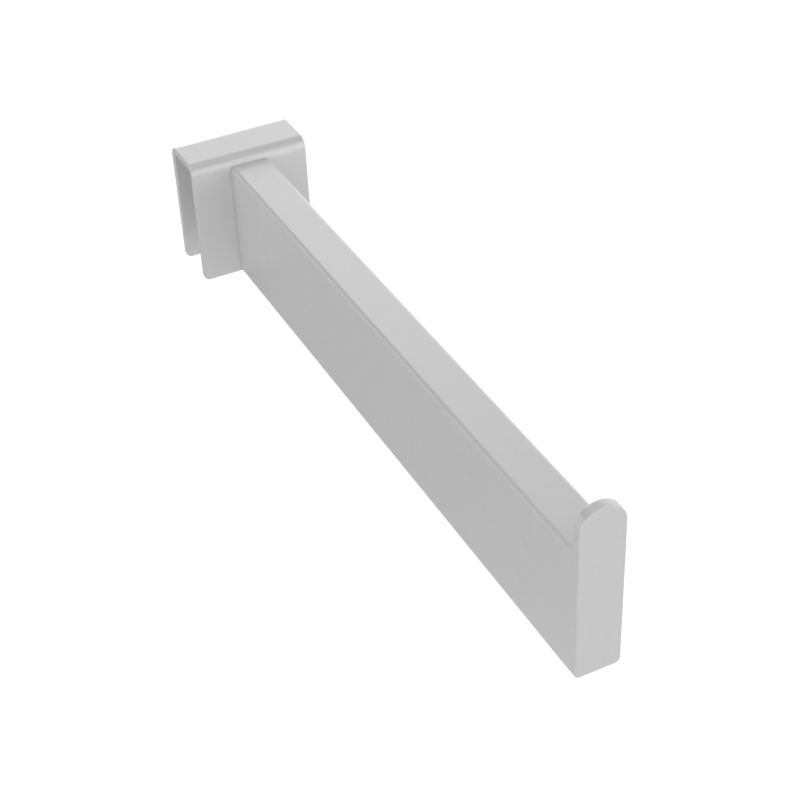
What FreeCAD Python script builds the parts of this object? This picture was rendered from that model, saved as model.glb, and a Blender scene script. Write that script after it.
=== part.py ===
import FreeCAD, Part
import math
import os

# Faceout display arm. A flat rectangular tube is welded to a folded saddle that drops over a
# rectangular hang rail, and a taller end plate keeps the hangers on the tube.
# Lengths are in millimetres. X runs along the rail, the arm points towards -Y, and +Z is up.
# The origin is the rail seat: the middle of the saddle's inner top face.

# The hang rail that the saddle drops over
rail_thickness = 12.7
rail_height = 38.1
rail_side_gap = 0.79
flange_overhang = 0.7

# The saddle, a strip of sheet folded twice. The flange overhang is what reaches below the rail.
saddle_sheet = 1.9
saddle_width = 38.1
bend_inner_radius = 1.5
flange_corner_radius = 1.8

# The arm, a thin-walled tube. Its top stands a little above the line where the flange starts to bend.
tube_width = 12.7
tube_height = 38.1
tube_length = 203.2
tube_wall = 1.5
tube_corner_radius = 1.3
tube_rise = 0.4

# The end plate, as wide as the tube and level with its underside
plate_thickness = 2.9
plate_rise = 12.7
plate_corner_radius = 1.5

# Rounding of the cut edges of the sheet and the plate
edge_softening = 0.3

# Places that follow from the sizes above
channel_depth = rail_thickness + 2 * rail_side_gap
bend_outer_radius = bend_inner_radius + saddle_sheet
flange_end = -(rail_height + flange_overhang)
saddle_depth = channel_depth + 2 * saddle_sheet
saddle_front = -saddle_depth / 2
bend_start = saddle_sheet - bend_outer_radius
tube_top = bend_start + tube_rise
tube_bottom = tube_top - tube_height
tube_front = saddle_front - tube_length
plate_top = tube_top + plate_rise

smallest_length = 1e-6
smallest_angle = math.radians(1)


def corner_points(x, z, radius, start):
    """The start, middle and end of a quarter round about (x, z), from the start angle in degrees."""
    angles = [math.radians(start + turn) for turn in (0, 45, 90)]
    return [FreeCAD.Vector(x + radius * math.cos(a), 0, z + radius * math.sin(a)) for a in angles]


def rounded_outline(width, low, high, low_radius, high_radius):
    """A closed upright outline, centred on the Z axis, with rounded lower and upper corners."""
    low_x, low_z = width / 2 - low_radius, low + low_radius
    high_x, high_z = width / 2 - high_radius, high - high_radius
    corners = [
        corner_points(low_x, low_z, low_radius, -90),
        corner_points(high_x, high_z, high_radius, 0),
        corner_points(-high_x, high_z, high_radius, 90),
        corner_points(-low_x, low_z, low_radius, 180),
    ]
    edges = []
    for corner, following in zip(corners, corners[1:] + corners[:1]):
        if corner[0].distanceToPoint(corner[2]) > smallest_length:
            edges.append(Part.Arc(*corner).toShape())
        if corner[2].distanceToPoint(following[0]) > smallest_length:
            edges.append(Part.makeLine(corner[2], following[0]))
    return Part.Wire(edges)


def face_between(outside, inside):
    """The flat face that lies inside one outline and outside the other."""
    return Part.Face(outside).cut(Part.Face(inside)).Faces[0]


def extrude(section, start, length):
    """The solid that a section in the XZ plane sweeps along +Y from the start."""
    placed = section.translated(FreeCAD.Vector(0, start, 0))
    return placed.extrude(FreeCAD.Vector(0, length, 0))


def is_sharp(solid, edge):
    """Whether the two faces at an edge meet at an angle."""
    point = edge.valueAt((edge.FirstParameter + edge.LastParameter) / 2)
    first, second = [
        face.normalAt(*face.Surface.parameter(point))
        for face in solid.ancestorsOfType(edge, Part.Face)
    ]
    return first.getAngle(second) > smallest_angle


def softened(solid):
    """The solid with each of its sharp edges rounded."""
    sharp_edges = [edge for edge in solid.Edges if is_sharp(solid, edge)]
    return solid.makeFillet(edge_softening, sharp_edges).Solids[0]


def make_saddle_bracket():
    """The folded U: the sheet's section run along the rail, trimmed to the outline seen from the front."""
    outside = rounded_outline(saddle_depth, flange_end, saddle_sheet, 0, bend_outer_radius)
    inside = rounded_outline(channel_depth, flange_end, 0, 0, bend_inner_radius)
    folded = extrude(face_between(outside, inside), -saddle_width / 2, saddle_width)
    folded.rotate(FreeCAD.Vector(0, 0, 0), FreeCAD.Vector(0, 0, 1), 90)
    front_view = rounded_outline(saddle_width, flange_end, saddle_sheet, flange_corner_radius, 0)
    return softened(folded.common(extrude(Part.Face(front_view), saddle_front, saddle_depth)))


def tube_outline(inset):
    """The tube's outer outline, or one that lies inside it by the inset."""
    radius = max(tube_corner_radius - inset, 0)
    return rounded_outline(tube_width - 2 * inset, tube_bottom + inset, tube_top - inset, radius, radius)


def make_arm_tube():
    """The hollow tube between the saddle and the end plate."""
    section = face_between(tube_outline(0), tube_outline(tube_wall))
    return extrude(section, tube_front, tube_length)


def make_end_plate():
    """The plate with softened edges, filled out square where the ground weld joins it to the tube."""
    outline = rounded_outline(tube_width, tube_bottom, plate_top, plate_corner_radius, tube_width / 2)
    blank = extrude(Part.Face(outline), tube_front - plate_thickness, plate_thickness)
    weld_depth = plate_thickness - edge_softening
    weld = extrude(Part.Face(tube_outline(0)), tube_front - weld_depth, weld_depth)
    return softened(blank).fuse(weld.common(blank)).removeSplitter().Solids[0]


pieces = {
    "saddle_bracket": make_saddle_bracket(),
    "arm_tube": make_arm_tube(),
    "end_plate": make_end_plate(),
}

os.makedirs("parts", exist_ok=True)
for name, piece in pieces.items():
    piece.exportStep(f"parts/{name}.step")
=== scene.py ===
import math

import bpy
from mathutils import Euler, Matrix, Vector


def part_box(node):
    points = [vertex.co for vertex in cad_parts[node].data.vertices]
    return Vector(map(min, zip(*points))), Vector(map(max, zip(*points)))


# Dresses and lights the display arm: one satin silver-grey coat over all its pieces.
# Lengths are in metres and angles in degrees. Azimuths are counted from the front, -Y, towards the right, +X.

up = Vector((0, 0, 1))
white = (1, 1, 1, 1)

# The point in the arm's middle plane at which the camera and the lamps aim
target = Vector((0, -0.1115, -0.0267))

# Camera
camera_distance = 0.4729
camera_azimuth = -24.88
camera_elevation = 36.76
camera_roll = 2.79
camera_lens = 76.96
camera_clip_start = 0.01

# Floor, well below the arm, which hangs on a rail
floor_drop = 0.6
floor_size = 60
floor_colour = 0.9
floor_roughness = 0.9

# Glow that tops the floor up to white where it is seen: its strength near the middle of the floor and far
# from it, and the distances between which the one turns into the other
near_fill, far_fill = 0.19, 0.6
fill_start, fill_full = 1.2, 3.2

# Sky: its strength at the horizon and overhead, and the heights on a unit sphere between which it changes
sky_horizon, sky_overhead = 1, 0.15
sky_low, sky_high = 0.1, 0.87

# Softboxes: name, azimuth, elevation, diameter and brightness, white being 1
softbox_distance = 3
softboxes = (
    ("overhead", 240, 75, 3, 1.2),
    ("front_right", 40, 32, 3, 0.5),
    ("rear_right", 130, 32, 3, 0.4),
    ("rear_high", 165, 32, 1.5, 0.3),
    ("front_left", 305, 15, 3, 1.3),
    ("rear", 160, 0, 3, 0.5),
    ("rear_left", 190, 5, 3, 1.3),
    ("right", 60, 0, 4, 1.3),
)

# Grey mat just above the floor, seen only in reflections
mat_lift = 0.002
mat_centre = Vector((0, -0.1, mat_lift - floor_drop))
mat_size = 2
mat_grey = 0.64

# Upright grey card at the rear left, seen only in reflections. It stands away from a point in the arm.
card_start = Vector((0, -0.08, 0))
card_azimuth = 222
card_distance = 0.45
card_width = 0.81
card_strips = (  # lower end, upper end and grey
    (-0.59, -0.05, 0.36),
    (-0.05, 0.22, 0.54),
    (0.22, 0.6, 0.1),
)

# Coat
coat_tint = (0.600, 0.597, 0.602)
coat_metallic = 0.3
coat_roughness = 0.3

# Noise in the coat: the size of its marks, its detail, and how much it changes the colour, as a share of it,
# and the roughness. The orange peel is a bump instead, of a small height.
grain_size, grain_detail = 0.00015, 2
grain_colour, grain_roughness = 0.06, 0.06
mottle_size, mottle_detail = 0.005, 3
mottle_colour, mottle_roughness = 0.01, 0.015
peel_size, peel_detail = 0.0015, 1
peel_height = 0.000004

# Painted shade along the edges and in every crease, where the coat is also duller: how far around a point its
# openness is judged, the openness at which each starts and at which it is full, and how much it changes the
# colour and the roughness
openness_samples = 4
edge_reach, edge_start, edge_full = 0.0005, 0.9, 0.65
# The colour change along the edges is painted shade; the roughness change makes them duller.
edge_shade_colour, edge_roughness = -0.15, 0.35
crease_reach, crease_start, crease_full = 0.001, 0.95, 0.65
# The colour change in each crease is painted shade; the roughness change makes them duller.
crease_shade_colour, crease_roughness = -0.08, 0.1

# Distances from the ground weld at the plate between which the painted edge shade and the duller edge coat set
# in
weld_near, weld_far = 0.0008, 0.0014


def direction(azimuth, elevation):
    """The unit vector that points to this azimuth and elevation."""
    turn, rise = math.radians(azimuth), math.radians(elevation)
    return Vector((math.sin(turn) * math.cos(rise), -math.cos(turn) * math.cos(rise), math.sin(rise)))


def add_object(name, data):
    """A new object in the scene, which turns by quaternions."""
    item = bpy.data.objects.new(name, data)
    bpy.context.collection.objects.link(item)
    item.rotation_mode = "QUATERNION"
    return item


def aim_at_target(item, azimuth, elevation, distance):
    """Puts a camera or a lamp at this distance from the target and turns it to face it."""
    outward = direction(azimuth, elevation)
    item.location = target + distance * outward
    item.rotation_quaternion = (-outward).to_track_quat("-Z", "Y")


def make_camera():
    """The scene's camera, which leans by its roll."""
    camera = add_object("camera", bpy.data.cameras.new("camera"))
    aim_at_target(camera, camera_azimuth, camera_elevation, camera_distance)
    roll = Euler((0, 0, -math.radians(camera_roll))).to_quaternion()
    camera.rotation_quaternion = camera.rotation_quaternion @ roll
    camera.data.lens = camera_lens
    camera.data.clip_start = camera_clip_start
    bpy.context.scene.camera = camera


def make_softbox(name, azimuth, elevation, diameter, brightness):
    """A round lamp whose face is this bright, and which the camera doesn't see."""
    lamp = add_object(name, bpy.data.lights.new(name, "AREA"))
    aim_at_target(lamp, azimuth, elevation, softbox_distance)
    lamp.data.shape = "DISK"
    lamp.data.size = diameter
    area = math.pi * (diameter / 2) ** 2
    lamp.data.energy = math.pi * area * brightness
    lamp.visible_camera = False


def feed(tree, socket, value):
    """Gives a socket a fixed value or the output of another node."""
    if isinstance(value, bpy.types.NodeSocket):
        tree.links.new(value, socket)
    else:
        socket.default_value = value


def add_node(tree, kind, inputs, **settings):
    """A new node of this kind, with its settings made and its inputs fed."""
    node = tree.nodes.new(kind)
    for name, value in settings.items():
        setattr(node, name, value)
    for key, value in inputs.items():
        feed(tree, node.inputs[key], value)
    return node


def reckon(tree, operation, *values):
    """The output of a math node."""
    return add_node(tree, "ShaderNodeMath", dict(enumerate(values)), operation=operation).outputs[0]


def fade(tree, value, start, full):
    """A smooth step from 0 at the start value to 1 at the full one."""
    limits = {"Value": value, "From Min": start, "From Max": full}
    return add_node(tree, "ShaderNodeMapRange", limits, interpolation_type="SMOOTHSTEP").outputs[0]


def make_sky():
    """A sky that is white at the horizon and dim overhead."""
    sky = bpy.data.worlds.new("sky")
    sky.use_nodes = True
    tree = sky.node_tree
    place = tree.nodes.new("ShaderNodeTexCoord").outputs["Generated"]
    height = add_node(tree, "ShaderNodeSeparateXYZ", {"Vector": place}).outputs["Z"]
    limits = {
        "Value": height,
        "From Min": sky_low,
        "From Max": sky_high,
        "To Min": sky_horizon,
        "To Max": sky_overhead,
    }
    strength = add_node(tree, "ShaderNodeMapRange", limits).outputs[0]
    background = tree.nodes["Background"]
    background.inputs["Color"].default_value = white
    feed(tree, background.inputs["Strength"], strength)
    bpy.context.scene.world = sky


def make_material(name):
    """A new material, its node tree and its shader."""
    material = bpy.data.materials.new(name)
    material.use_nodes = True
    tree = material.node_tree
    return material, tree, tree.nodes["Principled BSDF"]


def make_panel(name, centre, facing, width, height, material):
    """A flat panel about its centre that faces one way."""
    x, y = width / 2, height / 2
    mesh = bpy.data.meshes.new(name)
    mesh.from_pydata([(-x, -y, 0), (x, -y, 0), (x, y, 0), (-x, y, 0)], [], [(0, 1, 2, 3)])
    mesh.materials.append(material)
    panel = add_object(name, mesh)
    panel.location = centre
    panel.rotation_quaternion = facing.to_track_quat("Z", "Y")
    return panel


def make_floor():
    """A pale floor, topped up to plain white for the camera and for what reflects it."""
    material, tree, shader = make_material("floor")
    shader.inputs["Base Color"].default_value = (floor_colour, floor_colour, floor_colour, 1)
    shader.inputs["Roughness"].default_value = floor_roughness
    path = tree.nodes.new("ShaderNodeLightPath").outputs
    seen = reckon(tree, "MAXIMUM", path["Is Camera Ray"], path["Is Glossy Ray"])
    seen = reckon(tree, "MAXIMUM", seen, path["Is Transmission Ray"])
    place = tree.nodes.new("ShaderNodeTexCoord").outputs["Object"]
    distance = add_node(tree, "ShaderNodeVectorMath", {0: place}, operation="LENGTH").outputs["Value"]
    farness = fade(tree, distance, fill_start, fill_full)
    fill = reckon(tree, "MULTIPLY_ADD", farness, far_fill - near_fill, near_fill)
    shader.inputs["Emission Color"].default_value = white
    feed(tree, shader.inputs["Emission Strength"], reckon(tree, "MULTIPLY", seen, fill))
    make_panel("floor", -floor_drop * up, up, floor_size, floor_size, material)


def make_card(name, centre, facing, width, height, grey):
    """A card that glows an even grey and is seen only in reflections."""
    material, tree, shader = make_material(name)
    tree.nodes.remove(shader)
    glow = add_node(tree, "ShaderNodeEmission", {"Color": (grey, grey, grey, 1)}).outputs[0]
    feed(tree, tree.nodes["Material Output"].inputs["Surface"], glow)
    card = make_panel(name, centre, facing, width, height, material)
    card.visible_camera = False
    card.visible_diffuse = False
    card.visible_shadow = False


def make_cards():
    """The mat, and the upright card strip by strip."""
    make_card("mat", mat_centre, up, mat_size, mat_size, mat_grey)
    outward = direction(card_azimuth, 0)
    for number, (low, high, grey) in enumerate(card_strips):
        centre = card_start + card_distance * outward + (low + high) / 2 * up
        make_card(f"card_{number}", centre, -outward, card_width, high - low, grey)


def noise(tree, place, size, detail):
    """Noise from -1 to 1, with marks of about this size."""
    inputs = {"Vector": place, "Scale": 1 / size, "Detail": detail}
    return reckon(tree, "MULTIPLY_ADD", add_node(tree, "ShaderNodeTexNoise", inputs).outputs[0], 2, -1)


def openness(tree, reach, inside):
    """How open the surface is within a reach: to the air outside, or to its own piece's solid inside."""
    settings = {"samples": openness_samples, "inside": inside, "only_local": inside}
    return add_node(tree, "ShaderNodeAmbientOcclusion", {"Distance": reach}, **settings).outputs["AO"]


def shaded_dull_edges(tree, place, mottle, weld):
    """Where the edges get painted shade and a duller coat: along the edges, in patches, but not near the weld,
    which is at this Y.
    """
    # Mask of the edges, where the colour gets painted shade and the coat turns duller
    edges = fade(tree, openness(tree, reach=edge_reach, inside=True), edge_start, edge_full)
    along = add_node(tree, "ShaderNodeSeparateXYZ", {"Vector": place}).outputs["Y"]
    distance = reckon(tree, "ABSOLUTE", reckon(tree, "SUBTRACT", along, weld))
    clear = fade(tree, distance, weld_near, weld_far)
    patches = reckon(tree, "ADD", mottle, 1)
    return reckon(tree, "MULTIPLY", reckon(tree, "MULTIPLY", edges, clear), patches)


def make_coat(weld):
    """Satin silver paint: fine grain, a soft mottle, orange peel, and painted shade along the edges and in
    every crease, where the coat is also duller.
    """
    material, tree, shader = make_material("satin_silver")
    shader.inputs["Metallic"].default_value = coat_metallic

    place = tree.nodes.new("ShaderNodeTexCoord").outputs["Object"]
    grain = noise(tree, place, grain_size, grain_detail)
    mottle = noise(tree, place, mottle_size, mottle_detail)
    edge_shade_and_dulling = shaded_dull_edges(tree, place, mottle, weld)
    # Painted shade in each crease: a darker colour where the surface is shut in, and a duller coat.
    crease_shade_and_dulling = fade(tree, openness(tree, reach=crease_reach, inside=False), crease_start, crease_full)
    shade, roughness = 1, coat_roughness
    # The edge and crease marks darken the colour as painted shade, and raise the roughness.
    for mark, colour_change, roughness_change in (
        (grain, grain_colour, grain_roughness),
        (mottle, mottle_colour, mottle_roughness),
        (edge_shade_and_dulling, edge_shade_colour, edge_roughness),
        (crease_shade_and_dulling, crease_shade_colour, crease_roughness),
    ):
        shade = reckon(tree, "MULTIPLY_ADD", mark, colour_change, shade)
        roughness = reckon(tree, "MULTIPLY_ADD", mark, roughness_change, roughness)
    tinted = add_node(tree, "ShaderNodeVectorMath", {0: coat_tint, "Scale": shade}, operation="SCALE")
    feed(tree, shader.inputs["Base Color"], tinted.outputs[0])
    feed(tree, shader.inputs["Roughness"], roughness)

    peel = {"Height": noise(tree, place, peel_size, peel_detail), "Distance": peel_height}
    feed(tree, shader.inputs["Normal"], add_node(tree, "ShaderNodeBump", peel).outputs[0])
    return material


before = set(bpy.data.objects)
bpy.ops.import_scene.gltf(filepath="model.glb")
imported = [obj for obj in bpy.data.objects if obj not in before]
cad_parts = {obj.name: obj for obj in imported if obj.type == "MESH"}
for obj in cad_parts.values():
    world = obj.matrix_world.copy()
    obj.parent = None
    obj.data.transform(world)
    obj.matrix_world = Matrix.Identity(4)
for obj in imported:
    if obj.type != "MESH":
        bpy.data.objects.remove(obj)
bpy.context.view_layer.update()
make_camera()
make_floor()
make_cards()
make_sky()
for softbox in softboxes:
    make_softbox(*softbox)

plate_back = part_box("end_plate")[1].y
coat = make_coat(weld=plate_back)
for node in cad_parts.values():
    node.data.materials.clear()
    node.data.materials.append(coat)

bpy.context.scene.view_settings.view_transform = "Standard"
